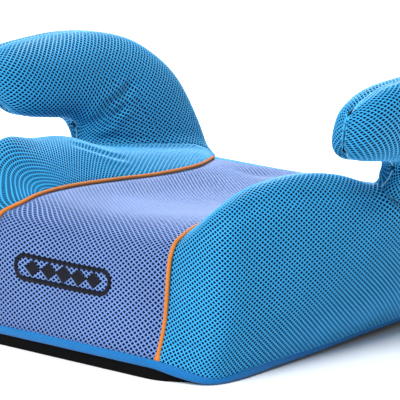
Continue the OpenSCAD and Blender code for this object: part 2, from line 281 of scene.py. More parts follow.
blue_strand = spacer_mesh("blue polyester spacer mesh", "#44b7ec", "#0b86c8", "#045292")
# The pit colours are painted shade inside the holes
blue_pit_painted_shade = pile_in_painted_shade("blue mesh inner pile in painted shade", "#02101f", "#062547")
lavender_strand = spacer_mesh("lavender polyester spacer mesh", "#819fd4", "#466aae", "#24427f")
lavender_pit_painted_shade = pile_in_painted_shade("lavender mesh inner pile in painted shade", "#050920", "#141f4c")
orange_cord = woven("orange bias-cut piping cloth", "#c2691f", "#f7a256", 0.9, 45)
blue_tape = woven("bright blue woven binding tape", "#0a5fa0", "#1389d2", 1.0, 0)
white_elastic = woven("white knitted elastic", "#c9cbd0", "#f4f4f2", 1.2, 0)
blue_thread = thread("blue sewing thread", "#3f9fd2", "#9fdcf6", 0.5)
navy_thread = thread("navy embroidery thread", "#04050c", "#0d1122", 0.6)
black_plastic = moulded("black polypropylene", "#020203", "#060607", 0.75, Specular_IOR_Level=0.08)
grey_plastic = moulded("grey polypropylene", "#8f9297", "#a2a5aa", 0.5)
core_foam = beads("expanded polypropylene bead foam", "#c3c0bf", "#e4e1de", 3.2)
soft_foam = beads("open-cell polyurethane foam", "#b9bcc6", "#dcdde4", 1.1)
# Bright screws with turning marks 0.6 mm apart
zinc_steel = grained("zinc-plated steel", 0.32, (0.3, "#8f9296"), (0.7, "#c9ccd0"), 0.6, 0.2, 0.05,
                     Metallic=1.0)

# ---- Curves and surfaces ----
# Guide points [x, depth, height] of the right-hand half, each row from the hem up the wall, over
# the bolster and down to the piping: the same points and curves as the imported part.
side_net = [
    [[92, 5, 9], [92, 12, 30], [92, 18, 52], [92, 21, 76], [92, 24, 94], [92, 28, 101],
     [92, 33, 106]],
    [[112, 9, 5], [114, 14, 30], [115, 17, 58], [115, 19, 88], [113, 25, 111], [104, 36, 115],
     [92, 48, 112]],
    [[133, 20, 1], [141, 23, 35], [142, 26, 75], [139, 30, 108], [129, 41, 132], [112, 54, 130],
     [92, 68, 115]],
    [[140, 48, 1], [151, 52, 45], [153, 55, 90], [149, 61, 125], [136, 71, 146], [114, 80, 140],
     [92, 90, 116.5]],
    [[139, 100, 2], [158, 101, 45], [163, 103, 92], [160, 107, 130], [146, 112, 151],
     [118, 116, 144], [92, 120, 116.5]],
    [[138, 150, 3], [163, 150, 45], [172, 151, 92], [170, 152, 126], [154, 154, 147],
     [122, 156, 140], [92, 158, 115]],
    [[137, 200, 5], [166, 200, 45], [178, 199, 88], [177, 198, 118], [163, 197, 134],
     [127, 200, 131], [92, 204, 112.5]],
    [[136, 265, 7], [166, 265, 45], [178, 265, 80], [177, 265, 108], [163, 264, 124],
     [130, 263, 124], [97, 262, 112]],
    [[133, 318, 8], [160, 322, 42], [171, 326, 75], [172, 328, 100], [160, 326, 115],
     [139, 320, 117], [117, 312, 111]],
    [[122, 340, 8], [143, 350, 40], [152, 356, 70], [153, 358, 92], [149, 356, 102],
     [143, 349, 106.5], [137, 341, 107]]]

# Centre panel rows: half width, depth and height at the piping, and at the middle
centre_rows = [[92, 5, 9, 0, 11], [92, 16, 42, 11, 42], [92, 21, 84, 17, 81],
               [92, 25, 98, 23, 95], [92, 33, 106, 34, 104], [92, 60, 114, 60, 111],
               [92, 100, 116.5, 100, 110], [92, 155, 115, 155, 105], [92, 210, 112.5, 210, 102],
               [97, 270, 112, 270, 101], [137, 341, 107, 350, 102]]
ACROSS = [1, 0.5, 0, -0.5, -1]
centre_net = [[[f * r[0], r[3] + f * f * (r[1] - r[3]), r[4] + f * f * (r[2] - r[4])]
               for f in ACROSS] for r in centre_rows]
REAR_BOW, REAR_DIP = 6, 5
rear_net = [[[f * p[0], p[1] + REAR_BOW * (1 - f * f),
              p[2] - (REAR_DIP * (1 - f * f) if p[2] > 100 else 0)] for p in side_net[-1]]
            for f in ACROSS]

# Armrest from the side, [depth, height]: its upper and lower outline from the nose seam back,
# half its thickness at each pair of points, and how far the nose bows forward there
arm_top = [[105, 205], [108, 212], [117, 218], [136, 225.5], [172, 230], [215, 232], [258, 229],
           [301, 215], [337, 185], [353, 142], [357, 92]]
arm_low = [[117, 176], [120, 171], [126, 167], [138, 164], [160, 161], [182, 158], [192, 152],
           [193, 146], [192, 140], [190, 128], [190, 92]]
arm_half = [1.5, 13, 20, 25.5, 28, 28, 27, 26, 24, 19, 11]
arm_bow = [5, 3.5, 2, 0.5, 0, 0, 0, 0, 0, 0, 0]
LEAN, LEAN_X, LEAN_Z = 0.42, 160, 110   # the armrests lean out by 0.42 for each unit of height
BELLY = 0.8                             # power that fills out the armrest's oval section
CLOTH = 2.4                             # thickness of the spacer mesh
SEWN = 0.5         # share of the fillet at which the sleeves' cloth and the cover's are cut off
SEAM_LAP = 1.4     # how far the cover's cloth runs on past there


def blend(p, q, r, s, t):
    """Catmull-Rom curve between q and r."""
    return 0.5 * (2 * q + (r - p) * t + (2 * p - 5 * q + 4 * r - s) * t * t
                  + (3 * q - p - 3 * r + s) * t ** 3)


def along(rows, share):
    """The smooth curve through rows, which are points or whole curves, at shares from 0 to 1."""
    rows = np.asarray(rows, float)
    last = len(rows) - 1
    rows = np.concatenate([[2 * rows[0] - rows[1]], rows, [2 * rows[-1] - rows[-2]]])
    x = np.clip(np.atleast_1d(share), 0, 1) * last
    i = np.minimum(x.astype(int), last - 1)
    t = (x - i).reshape((-1,) + (1,) * (rows.ndim - 1))
    return blend(rows[i], rows[i + 1], rows[i + 2], rows[i + 3], t)


def spots(net, a, b):
    """Points of a net at pairs of shares a, between its rows, and b, along them."""
    a, b = np.broadcast_arrays(np.asarray(a, float), np.asarray(b, float))
    shape, a, b = a.shape, a.ravel(), b.ravel()
    rows = along(np.swapaxes(np.asarray(net, float), 0, 1), b)
    rows = np.concatenate([2 * rows[:, :1] - rows[:, 1:2], rows,
                           2 * rows[:, -1:] - rows[:, -2:-1]], 1)
    last = len(net) - 1
    x = np.clip(a, 0, 1) * last
    i = np.minimum(x.astype(int), last - 1)
    k = np.arange(len(a))
    found = blend(rows[k, i], rows[k, i + 1], rows[k, i + 2], rows[k, i + 3], (x - i)[:, None])
    return found.reshape(shape + (3,))


def unit(v):
    """Directions of length one."""
    return v / np.maximum(np.linalg.norm(v, axis=-1, keepdims=True), 1e-9)


def smooth_step(value, low, high):
    t = np.clip((value - low) / (high - low), 0, 1)
    return t * t * (3 - 2 * t)


def grid_normals(points):
    """Outward directions of a grid of points."""
    return unit(np.cross(np.gradient(points, axis=0), np.gradient(points, axis=1)))


def travelled(points):
    """Distance along a line of points."""
    steps = np.linalg.norm(np.diff(points, axis=0), axis=-1)
    return np.concatenate([[0], np.cumsum(steps)])


def mirrored(points):
    return points * np.array([-1, 1, 1])


def to_metres(points):
    return (np.asarray(points, float) - [0, FRONT_TO_ORIGIN, 0]) * MM


# ---- Mesh pieces ----
def piece(name, points, faces, materials):
    """A mesh object from points in millimetres."""
    mesh = bpy.data.meshes.new(name)
    mesh.from_pydata(to_metres(points).tolist(), [], [list(map(int, f)) for f in faces])
    for m in materials:
        mesh.materials.append(m)
    mesh.polygons.foreach_set("use_smooth", [True] * len(mesh.polygons))
    mesh.update()
    return placed(name, mesh)


def vertex_values(mesh, key):
    """A vector of each vertex: its co or its normal."""
    found = np.zeros(len(mesh.vertices) * 3)
    mesh.vertices.foreach_get(key, found)
    return found.reshape(-1, 3)


def settle(made, *nodes, slot):
    """The piece rides on the seat's one body and stands for CAD nodes. Its slot is not used."""
    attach(made, BODY)
    if nodes:
        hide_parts(*nodes)


def worked_out(made):
    """An object as its modifiers leave it."""
    return made.evaluated_get(bpy.context.evaluated_depsgraph_get())


def applied(made):
    """Turns an object's modifiers into its plain mesh."""
    bpy.context.view_layer.update()
    mesh = bpy.data.meshes.new_from_object(worked_out(made))
    made.modifiers.clear()
    made.data = mesh
    return made


def new_tree(name, sockets):
    """A Geometry Nodes tree with named inputs, its group input and its group output."""
    tree = bpy.data.node_groups.new(name, "GeometryNodeTree")
    tree.interface.new_socket("Geometry", in_out="OUTPUT", socket_type="NodeSocketGeometry")
    for key, kind, value in [("Geometry", "Geometry", None)] + sockets:
        made = tree.interface.new_socket(key, in_out="INPUT", socket_type="NodeSocket" + kind)
        if value is not None:
            made.default_value = value
    return tree, add(tree, "NodeGroupInput"), add(tree, "NodeGroupOutput")


def set_inputs(modifier, values):
    """Sets a Geometry Nodes modifier's inputs by their sockets' identifiers."""
    for item in modifier.node_group.interface.items_tree:
        if item.item_type == "SOCKET" and item.in_out == "INPUT" and item.name in values:
            modifier[item.identifier] = values[item.name]


def hole_tree():
    """Makes every cell of a cloth lattice a hole with a rounded rim and a pit coloured with painted
    shade.
    """
    tree, given, result = new_tree("Spacer mesh holes", [
        ("Hole share", "Float", 0.55), ("Rim drop", "Float", 0.0005),
        ("Pit depth", "Float", 0.001), ("Strand", "Material", None), ("Pit", "Material", None)])

    def pushed(node, faces, way):
        return add(tree, "GeometryNodeExtrudeMesh", {
            "Mesh": node.outputs[0], "Selection": faces, "Offset Scale": way,
            "Individual": True}, mode="FACES")

    # Mask for the strands' painted highlight and shade: 1 on top of the strands, 0 at the holes'
    # rims
    high = add(tree, "GeometryNodeStoreNamedAttribute", {
        "Geometry": given.outputs["Geometry"], "Name": "crown_highlight", "Value": 1.0},
        data_type="FLOAT", domain="POINT")
    dyed = add(tree, "GeometryNodeSetMaterial", {"Geometry": high.outputs[0],
                                                 "Material": given.outputs["Strand"]})
    cell = add(tree, "GeometryNodeInputNamedAttribute", {"Name": "cell"}, data_type="BOOLEAN")
    sink = maths(tree, "MULTIPLY", given.outputs["Rim drop"], -1.0)
    rim = pushed(dyed, cell.outputs["Attribute"], sink)
    drawn = add(tree, "GeometryNodeScaleElements", {
        "Geometry": rim.outputs["Mesh"], "Selection": rim.outputs["Top"],
        "Scale": given.outputs["Hole share"]}, domain="FACE")
    low = add(tree, "GeometryNodeStoreNamedAttribute", {
        "Geometry": drawn.outputs[0], "Selection": rim.outputs["Top"], "Name": "crown_highlight",
        "Value": 0.0}, data_type="FLOAT", domain="POINT")
    fall = maths(tree, "MULTIPLY", given.outputs["Pit depth"], -1.0)
    pit = pushed(low, rim.outputs["Top"], fall)
    # The pit's floor and walls take the pit material, which is painted shade
    inside = add(tree, "FunctionNodeBooleanMath", {0: pit.outputs["Top"], 1: pit.outputs["Side"]},
                 operation="OR")
    dark = add(tree, "GeometryNodeSetMaterial", {
        "Geometry": pit.outputs["Mesh"], "Selection": inside.outputs[0],
        "Material": given.outputs["Pit"]})
    flat = add(tree, "GeometryNodeSetShadeSmooth", {
        "Geometry": dark.outputs[0], "Selection": inside.outputs[0], "Shade Smooth": False})
    whole = add(tree, "GeometryNodeRealizeInstances", {"Geometry": flat.outputs[0]})
    tree.links.new(whole.outputs[0], result.inputs["Geometry"])
    return tree


HOLES = hole_tree()
HOLE_SHARE = 0.56        # width of a hole over the width of its cell
RIM_DROP = 0.45          # how far a strand rounds down to the hole
PIT_DEPTH = 0.9          # how deep the hole goes on
LEAST_HOLE = 2.2         # area of the smallest cell that is open
# Half the spacing of the holes, across and along the cloth
BLUE_PITCH = (2.52, 1.94)
LAVENDER_PITCH = (2.05, 2.7)


def closed_sheet(front, back, faces):
    """Points and faces of a closed sheet: faces at the front, the same at the back, and walls
    along their open edges."""
    used = np.unique([v for face in faces for v in face])
    place = {v: k for k, v in enumerate(used)}
    n = len(used)
    faces = [[place[v] for v in face] for face in faces]
    edges = {(face[k - 1], face[k]) for face in faces for k in range(len(face))}
    rear = [[v + n for v in reversed(face)] for face in faces]
    walls = sorted([q, p, p + n, q + n] for p, q in edges if (q, p) not in edges)
    return np.concatenate([front[used], back[used]]), faces + rear + walls


def lattice_shell(points, normals, keep):
    """Points and faces of a cloth shell whose front is a lattice of diamonds over a grid of points.
    A diamond sits on each odd place of the grid that is kept. Returns how many there are, too."""
    ni, nj = points.shape[:2]
    front = points.reshape(-1, 3)
    # Places of the grid that fall together are one point
    key = np.round(front * 50).astype(np.int64)
    _, first, same = np.unique(key, axis=0, return_index=True, return_inverse=True)
    same = same.reshape(-1)
    diamonds = []
    for i in range(ni):
        for j in range((i + 1) % 2, nj, 2):
            if not keep[i, j]:
                continue
            ring = [same[max(i - 1, 0) * nj + j], same[i * nj + max(j - 1, 0)],
                    same[min(i + 1, ni - 1) * nj + j], same[i * nj + min(j + 1, nj - 1)]]
            ring = [v for k, v in enumerate(ring) if v != ring[k - 1]]
            if len(set(ring)) >= 3 and len(set(ring)) == len(ring):
                diamonds.append(ring)
    top = front[first]
    low = top - CLOTH * normals.reshape(-1, 3)[first]
    return (*closed_sheet(top, low, diamonds), len(diamonds))


def cloth_panel(name, shells, strand, pit):
    """One mesh of perforated spacer mesh cloth from the shells that lattice_shell makes."""
    points, faces, cells, start = [], [], [], 0
    for shell_points, shell_faces, diamonds in shells:
        points.append(shell_points)
        faces += [[v + start for v in f] for f in shell_faces]
        cells += [True] * diamonds + [False] * (len(shell_faces) - diamonds)
        start += len(shell_points)
    points = np.concatenate(points)
    made = piece(name, points, faces, [strand, pit])
    mark = made.data.attributes.new("cell", "BOOLEAN", "FACE")
    # Slivers at a seam stay closed
    areas = np.zeros(len(made.data.polygons))
    made.data.polygons.foreach_get("area", areas)
    open_cell = np.array(cells) & (areas > LEAST_HOLE * MM * MM)
    mark.data.foreach_set("value", open_cell)
    modifier = made.modifiers.new("holes", "NODES")
    modifier.node_group = HOLES
    set_inputs(modifier, {"Hole share": HOLE_SHARE, "Rim drop": RIM_DROP * MM,
                          "Pit depth": PIT_DEPTH * MM, "Strand": strand, "Pit": pit})
    return applied(made)


# ---- Surfaces to measure against ----
def tree_of(*grids):
    """A search tree over grids of points, in millimetres, and its faces."""
    faces, start = [], 0
    for grid in grids:
        ni, nj = grid.shape[:2]
        faces += [(k, k + nj, k + nj + 1, k + 1) for i in range(ni - 1)
                  for k in range(start + i * nj, start + i * nj + nj - 1)]
        start += ni * nj
    return BVHTree.FromPolygons(np.concatenate([g.reshape(-1, 3) for g in grids]).tolist(),
                                faces), faces


def height_over(tree, points, rim=math.inf):
    """Signed distance of points over a surface: positive outside it, and past its open rim, which
    is made of the faces from number rim on."""
    found = []
    for p in points.reshape(-1, 3):
        place, normal, index, far = tree.find_nearest(Vector(p))
        outside = index >= rim or (Vector(p) - place).dot(normal) >= 0
        found.append(far if outside else -far)
    return np.array(found).reshape(points.shape[:-1])


fine_a, fine_b = np.meshgrid(np.linspace(0, 1, 181), np.linspace(0, 1, 101), indexing="ij")
side_tree, _ = tree_of(spots(side_net, fine_a, fine_b), spots(rear_net, fine_a, fine_b))


def power(v, p):
    """v to the power p, with v's sign."""
    return np.sign(v) * np.abs(v) ** p


def arm_point(s, angle):
    """Point of the right armrest's cover: s runs from the nose seam back and down to the seat,
    the angle from the top seam round the outer side."""
    s, angle = np.broadcast_arrays(np.asarray(s, float), np.asarray(angle, float))
    shape, s, turn = s.shape, s.ravel(), angle.ravel()
    a = s * (0.985 + 0.015 * (1 + np.sin(turn)) / 2)
    o, i = along(arm_top, a), along(arm_low, a)
    mid, reach = (o + i) / 2, (o - i) / 2
    flat = mid + reach * power(np.cos(turn), BELLY)[:, None]
    depth = flat[:, 0] - along(arm_bow, a) * np.abs(np.sin(turn)) ** 0.5
    x = LEAN_X + (flat[:, 1] - LEAN_Z) * LEAN + along(arm_half, a) * power(np.sin(turn), BELLY)
    return np.stack([x, depth, flat[:, 1]], -1).reshape(shape + (3,))


def fillet_size(points):
    """How softly the armrest's cover runs into the seat's: a crease on its inner side."""
    out = points[..., 0] - LEAN_X - (points[..., 2] - LEAN_Z) * LEAN
    behind = 7 / (1 + np.exp(-(points[..., 1] - 245) / 15))
    return 7 + behind + (15 - behind) / (1 + np.exp(-(out + 4) / 5))


def lift(far, size):
    """How far a surface rises to run smoothly into another that is `far` away."""
    rise = np.zeros_like(far)
    for _ in range(12):
        rise = 0.5 * rise + 0.5 * np.clip(1 - np.abs(far - rise) / size, 0, 1) ** 2 * size / 4
    return rise


def creases(points, lines):
    """How far folds draw a surface in: each is a line of points, a width and a depth."""
    total = np.zeros(points.shape[:-1])
    for line, width, depth in lines:
        line = np.asarray(line, float)
        best = np.full(points.shape[:-1], 1e9)
        fade = np.zeros(points.shape[:-1])
        marks = travelled(line)
        for k in range(len(line) - 1):
            run = line[k + 1] - line[k]
            t = np.clip(((points - line[k]) @ run) / (run @ run), 0, 1)
            far = np.linalg.norm(points - line[k] - t[..., None] * run, axis=-1)
            share = (marks[k] + t * np.linalg.norm(run)) / marks[-1]
            nearer = far < best
            best = np.where(nearer, far, best)
            fade = np.where(nearer, np.minimum(share, 1 - share), fade)
        ends = np.clip(fade * 5, 0, 1) ** 0.7
        total += ends * depth * (np.exp(-(best / width) ** 2)
                                 - 0.45 * np.exp(-((best - 2 * width) / width) ** 2))
    return total


def ripple(points):
    """Slight unevenness of hand-fitted cloth."""
    x, y, z = np.moveaxis(points, -1, 0)
    return 0.35 * np.sin(x / 17 + 1.3 * np.sin(y / 31)) * np.sin(y / 23 + z / 19)


# Folds of the cover, on the right half: seams and pulls round the belt slot and over the bolster
SIDE_FOLDS = [
    ([[148, 66, 128], [158, 104, 137], [169, 150, 130], [176, 185, 124]], 3.5, 1.1),
    ([[128, 136, 146], [120, 160, 138], [116, 181, 130], [114, 200, 126]], 4, 1.3),
    ([[116, 21, 100], [131, 31, 118], [141, 48, 130], [149, 75, 137], [154, 104, 142]], 4, 1.0),
    ([[97, 10, 26], [113, 13, 27], [128, 16, 26]], 3, 1.2),
]
ARM_FOLDS = [
    ([[173, 193, 148], [159, 206, 155], [157, 229, 160], [159, 250, 168]], 3.5, 2.6),
    ([[168, 193, 154], [159, 221, 167], [162, 246, 176], [166, 262, 186]], 4, 2.0),
    ([[163, 197, 147], [157, 210, 149], [155, 226, 153]], 3, 1.8),
    ([[166, 195, 138], [154, 214, 139], [151, 236, 134], [150, 262, 129], [150, 297, 124]], 4, 1.2),
]

# ---- Armrest covers ----
ARM_ROWS, ARM_TURNS = 220, 56
SLEEVE_PITCH = (2.5, 1.94)
# For each pair of guide points, how much wider than the outline the cloth is cut
CURL_TOP = 15                                             # cloth that turns over the top edge
CURL_LOW = [15, 15, 15, 14, 12, 6, 1, 1, 1, 4, 8]          # and under the lower edge
NOSE_SPARE = [13, 4, 1, 0, 0, 0, 0, 0, 0, 0, 0]            # and forward round the nose


def by_pair(values, a):
    """Values given for each pair of the armrest's guide points, at shares a along it."""
    return np.interp(a * (len(values) - 1), range(len(values)), values)


def arm_half_cover(sign):
    """Fine grid of one half of the armrest's cover, outer for sign 1 and inner for -1, from the
    nose to where it meets the seat, with the flat pattern's points."""
    turns = sign * np.linspace(0, math.pi, ARM_TURNS)
    s = np.linspace(0, 1, 400)
    full = arm_point(s[:, None], turns[None, :])
    over = height_over(side_tree, full[::4])
    size = fillet_size(full[::4]) / 4 * SEWN
    # Behind the slot the sleeve's edge is tucked under the cover
    size = size - 5 * smooth_step(full[::4, :, 1], 270, 320)
    ends = []
    for k in range(ARM_TURNS):
        gap = over[:, k] - size[:, k]
        low = np.nonzero((gap < 0) & (s[::4] > 0.45))[0]
        if len(low) and low[0] > 0:
            m = low[0]
            t = gap[m - 1] / (gap[m - 1] - gap[m])
            ends.append(s[::4][m - 1] + t * 4 * (s[1] - s[0]))
        else:
            ends.append(1.0)
    ends = np.array(ends)
    share = np.linspace(0, 1, ARM_ROWS)[:, None] * ends[None, :]
    points = arm_point(share, turns[None, :])
    a = share * 0.99
    flat_o, flat_i = along(arm_top, a.ravel()), along(arm_low, a.ravel())
    reach = (flat_o - flat_i) / 2
    length = np.linalg.norm(reach, axis=1)
    direction = reach / length[:, None]
    spare = by_pair(CURL_LOW, a.ravel())
    # Share of a usual section's length from its middle to this point
    dense = np.linspace(0, math.pi, 121)
    section = np.stack([30 * power(np.cos(dense), BELLY), 26 * power(np.sin(dense), BELLY)], -1)
    run = travelled(section)
    turn = np.abs(np.broadcast_to(turns, share.shape)).ravel()
    part = 1 - 2 * np.interp(turn, dense, run) / run[-1]
    offset = np.where(part > 0, part * (length + CURL_TOP), part * (length + spare))
    pattern = (flat_o + flat_i) / 2 + direction * offset[:, None]
    bulge = np.abs(np.sin(np.broadcast_to(turns, share.shape))).ravel() ** BELLY
    pattern[:, 0] -= by_pair(NOSE_SPARE, a.ravel()) * bulge
    return points, pattern.reshape(share.shape + (2,))


def laid_on(points, normals, pattern):
    """Even grid over a flat pattern, carried to where the pattern's points lie on the seat, with
    its outward directions and the places that are on the cloth or next to it."""
    flat = np.concatenate([pattern, np.zeros(pattern.shape[:2] + (1,))], -1)
    tree, quads = tree_of(flat)
    low, high = flat.reshape(-1, 3).min(0), flat.reshape(-1, 3).max(0)
    ci = int((high[0] - low[0]) / SLEEVE_PITCH[0]) + 3
    cj = int((high[1] - low[1]) / SLEEVE_PITCH[1]) + 3
    where, facing = np.zeros((ci, cj, 3)), np.zeros((ci, cj, 3))
    inside = np.zeros((ci, cj), bool)
    fp, fn, ff = points.reshape(-1, 3), normals.reshape(-1, 3), flat.reshape(-1, 3)
    for i in range(ci):
        for j in range(cj):
            spot = Vector((low[0] - SLEEVE_PITCH[0] + i * SLEEVE_PITCH[0],
                           low[1] - SLEEVE_PITCH[1] + j * SLEEVE_PITCH[1], 0))
            place, _, index, far = tree.find_nearest(spot)
            quad = list(quads[index])
            weight = 1 / (np.linalg.norm(ff[quad] - np.array(place), axis=1) + 1e-3) ** 2
            weight /= weight.sum()
            where[i, j] = weight @ fp[quad]
            facing[i, j] = weight @ fn[quad]
            inside[i, j] = far < 0.05
    near = inside.copy()
    near[1:] |= inside[:-1]
    near[:-1] |= inside[1:]
    near[:, 1:] |= inside[:, :-1]
    near[:, :-1] |= inside[:, 1:]
    return where, unit(facing), near


def armrest_cover(name):
    """The right armrest's cover, two cloth halves sewn along the outline, with the line of that
    seam and the cover's cut size."""
    shells, seams, cuts = [], [], []
    for sign in (1, -1):
        points, pattern = arm_half_cover(sign)
        normals = -grid_normals(points) * sign
        over = height_over(side_tree, points[::3])
        over = np.stack([np.interp(np.arange(ARM_ROWS), np.arange(ARM_ROWS)[::3], over[:, k])
                         for k in range(ARM_TURNS)], 1)
        rise = lift(np.maximum(over, 0), fillet_size(points))
        points = points + normals * (rise - creases(points, ARM_FOLDS) + ripple(points))[..., None]
        # The seam draws the cloth in along the outline
        turns = np.linspace(0, math.pi, ARM_TURNS)
        seam = np.minimum(turns, math.pi - turns) * 30
        points = points - normals * (1.1 * np.exp(-(seam / 3.0) ** 2))[None, :, None]
        normals = -grid_normals(points) * sign
        seams.append((points[:, 0], points[:, -1]))
        cuts.append(cut_size(points))
        grids = laid_on(points, normals, pattern)
        # The inner half's columns run the other way, so that both halves face out
        shells.append(lattice_shell(*(grids if sign > 0 else [grid[::-1] for grid in grids])))
    made = cloth_panel(name, shells, blue_strand, blue_pit_painted_shade)
    top, low = seams[0]
    # The two halves are cut side by side
    whole = (cuts[0][0], cuts[0][1] + cuts[1][1], cuts[0][2] + cuts[1][2])
    return made, np.concatenate([top[::-1], low]), whole


def outer_grid(net, columns, pitch_b, start=0.0, stop=1.0, from_middle=False):
    """Grid of points on a net at even spacing: columns are shares between its rows, and places
    along each column are pitch_b apart, held back at the column's end."""
    b = np.linspace(start, stop, 241)
    lines = spots(net, np.asarray(columns)[:, None], b[None, :])
    runs = [travelled(line) for line in lines]
    middle = 0.5 if from_middle else 0
    count = int(max(r[-1] for r in runs) * (1 - middle) / pitch_b) + 2
    places = np.arange(-count if from_middle else 0, count + 1) * pitch_b
    shares = np.array([np.interp(np.clip(places + r[-1] * middle, 0, r[-1]), r, b) for r in runs])
    return np.broadcast_to(np.asarray(columns)[:, None], shares.shape), shares


def even_columns(net, b, pitch, start=0.0, stop=1.0):
    """Shares between a net's rows that are `pitch` apart along the line at share b."""
    a = np.linspace(start, stop, 600)
    run = travelled(spots(net, a, np.full_like(a, b)))
    return np.interp(np.linspace(0, run[-1], int(round(run[-1] / pitch)) + 1), run, a)


def cut_size(points, kept=None):
    """Flat width, length and area, in metres, of cloth cut to cover a grid of points."""
    one, two = points[1:, 1:] - points[:-1, :-1], points[1:, :-1] - points[:-1, 1:]
    cells = np.linalg.norm(np.cross(one, two), axis=-1) / 2
    if kept is not None:
        cells = cells * kept[1:, 1:]
    width = max(travelled(points[:, k])[-1] for k in range(points.shape[1]))
    length = max(travelled(line)[-1] for line in points)
    return width * MM, length * MM, cells.sum() * MM * MM


def net_normals(net, a, b):
    """Outward directions of a net at pairs of shares."""
    e = 0.003
    da = spots(net, np.minimum(a + e, 1), b) - spots(net, np.maximum(a - e, 0), b)
    db = spots(net, a, np.minimum(b + e, 1)) - spots(net, a, np.maximum(b - e, 0))
    return unit(np.cross(da, db))


def panel_grid(net, share, pitch, **ends):
    """A panel's grid on its net, its columns even where they pass a share of the rows: shares
    along each column, points and outward directions."""
    a, b = outer_grid(net, even_columns(net, share, pitch[0]), pitch[1], **ends)
    return b, spots(net, a, b), net_normals(net, a, b)


# The armrest as one closed surface, for the seat's cover to run up to
arm_s, arm_turn = np.meshgrid(np.linspace(0.25, 1, 120), np.linspace(2 * math.pi, 0, 73),
                              indexing="ij")
arm_tree, _ = tree_of(arm_point(arm_s, arm_turn))
ARM_RIM = (arm_s.shape[0] - 2) * (arm_s.shape[1] - 1)


def seat_side(name):
    """The right side panel of the seat's cover."""
    b, points, normals = panel_grid(side_net, 0.4, BLUE_PITCH)
    # Only the part by the armrest is measured; the rest counts as far off
    near = (points[..., 1] > 150) & (points[..., 2] > 70)
    over = np.full(points.shape[:-1], 60.0)
    over[near] = height_over(arm_tree, points[near], ARM_RIM)
    size = fillet_size(points)
    keep = over > size / 4 * SEWN - SEAM_LAP
    rise = lift(np.maximum(over, 0), size)
    fall = creases(points, SIDE_FOLDS) + 1.3 * np.exp(-((1 - b) / 0.016) ** 2)
    # The hem stands off the pan's front corner
    corner = np.linalg.norm(points - [100, 8, 12], axis=-1)
    fall = fall - 2.2 * np.exp(-(corner / 12) ** 2)
    points = points + normals * (rise - fall + ripple(points)
                                 * np.clip(b * 12, 0, 1))[..., None]
    made = cloth_panel(name, [lattice_shell(points, normals, keep)], blue_strand, blue_pit_painted_shade)
    return made, cut_size(points, keep)


def left_fit(points):
    """The cover doesn't sit evenly: its left front corner is pulled out and forward a little, and
    the left bolster is puffed up in front of the armrest."""
    x, y, z = np.moveaxis(points, -1, 0)
    corner = smooth_step(-x, 20, 92) * (1 - smooth_step(y, 25, 48)) * smooth_step(z, 10, 50)
    crest = np.exp(-((y - 68) / 27) ** 2 - ((x + 142) / 22) ** 2) * smooth_step(z, 105, 140)
    return points + np.stack([-5 * corner, -5 * corner - 3 * crest, 13 * crest], -1)


def finish_mirror(made, name):
    """The other hand of a piece, mirrored across the middle with its faces turned out again."""
    mesh = made.data.copy()
    co = mirrored(vertex_values(mesh, "co")) / MM + [0, FRONT_TO_ORIGIN, 0]
    mesh.vertices.foreach_set("co", to_metres(left_fit(co)).ravel())
    mesh.flip_normals()
    mesh.update()
    return placed(name, mesh)


right_side, side_cut = seat_side("right_side_cover")
left_side = finish_mirror(right_side, "left_side_cover")
right_sleeve, welt_line, sleeve_cut = armrest_cover("right_armrest_cover")
left_sleeve = finish_mirror(right_sleeve, "left_armrest_cover")

# Centre panel, front to rear
centre_b, centre_points, centre_normals = panel_grid(
    centre_net, 0.5, LAVENDER_PITCH, start=0.006, stop=0.994, from_middle=True)
# The seat is pressed in near its left rear corner, and held down along both lines of piping
seat_dip = 3 * np.exp(-((centre_points[..., 0] + 66) / 22) ** 2
                      - ((centre_points[..., 1] - 318) / 14) ** 2)
edge_dip = 0.6 * np.exp(-(np.minimum(centre_b, 1 - centre_b) / 0.03) ** 2)
centre_points = left_fit(centre_points + centre_normals * (
    0.6 * ripple(centre_points) - seat_dip - edge_dip)[..., None])
centre = cloth_panel("centre_cover", [lattice_shell(
    centre_points, centre_normals, np.ones(centre_b.shape, bool))], lavender_strand,
    lavender_pit_painted_shade)

# Rear panel
_, rear_points, rear_normals = panel_grid(rear_net, 0.5, BLUE_PITCH)
rear_over = height_over(arm_tree, np.abs(rear_points), ARM_RIM)
rear = cloth_panel("rear_cover", [lattice_shell(
    rear_points, rear_normals, rear_over > fillet_size(np.abs(rear_points)) / 4 * SEWN - SEAM_LAP)],
    blue_strand, blue_pit_painted_shade)


